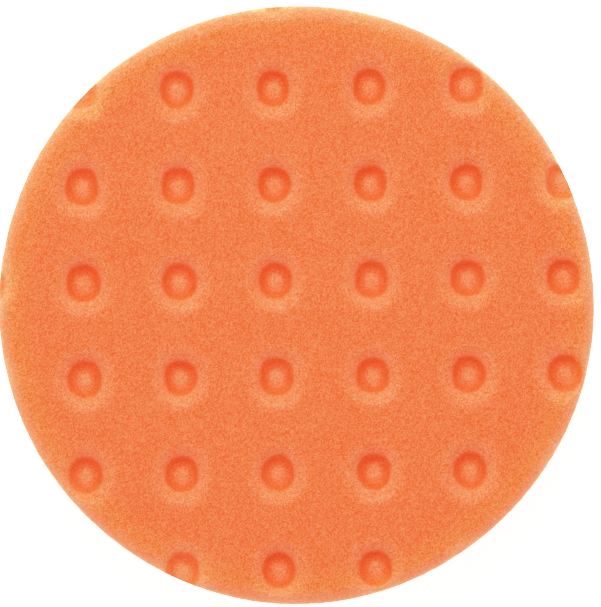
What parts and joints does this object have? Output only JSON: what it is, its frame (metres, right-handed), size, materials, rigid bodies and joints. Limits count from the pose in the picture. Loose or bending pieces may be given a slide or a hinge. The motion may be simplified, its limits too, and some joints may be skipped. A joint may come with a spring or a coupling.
{
  "type": "polishing pad",
  "caption": "Round foam polishing pad with a grid of pockets that hold polish in its working face, and a loop-fabric back that grips a hook-faced backing plate.",
  "frame": {"origin": "middle of the pad on the surface that its loop pile lies on", "axes": "+Z out of the working face, along the pad's axis; the rows of pockets run along +X, turned 0.73 degrees towards +Y"},
  "size_m": [0.165, 0.165, 0.0318],
  "materials": {
    "foam": "open-cell orange polyurethane foam with a fine matt grain, smoother in the heat-formed pockets",
    "bond_film": "translucent hot-melt adhesive film",
    "loop_ground": "off-white warp-knitted nylon ground",
    "loop_pile": "off-white brushed nylon loops, matt and slightly fuzzy"
  },
  "bodies": {
    "root": {"foam_body": "foam", "bond_film": "bond_film", "loop_ground": "loop_ground", "loop_pile": "loop_pile"}
  },
  "joints": []
}
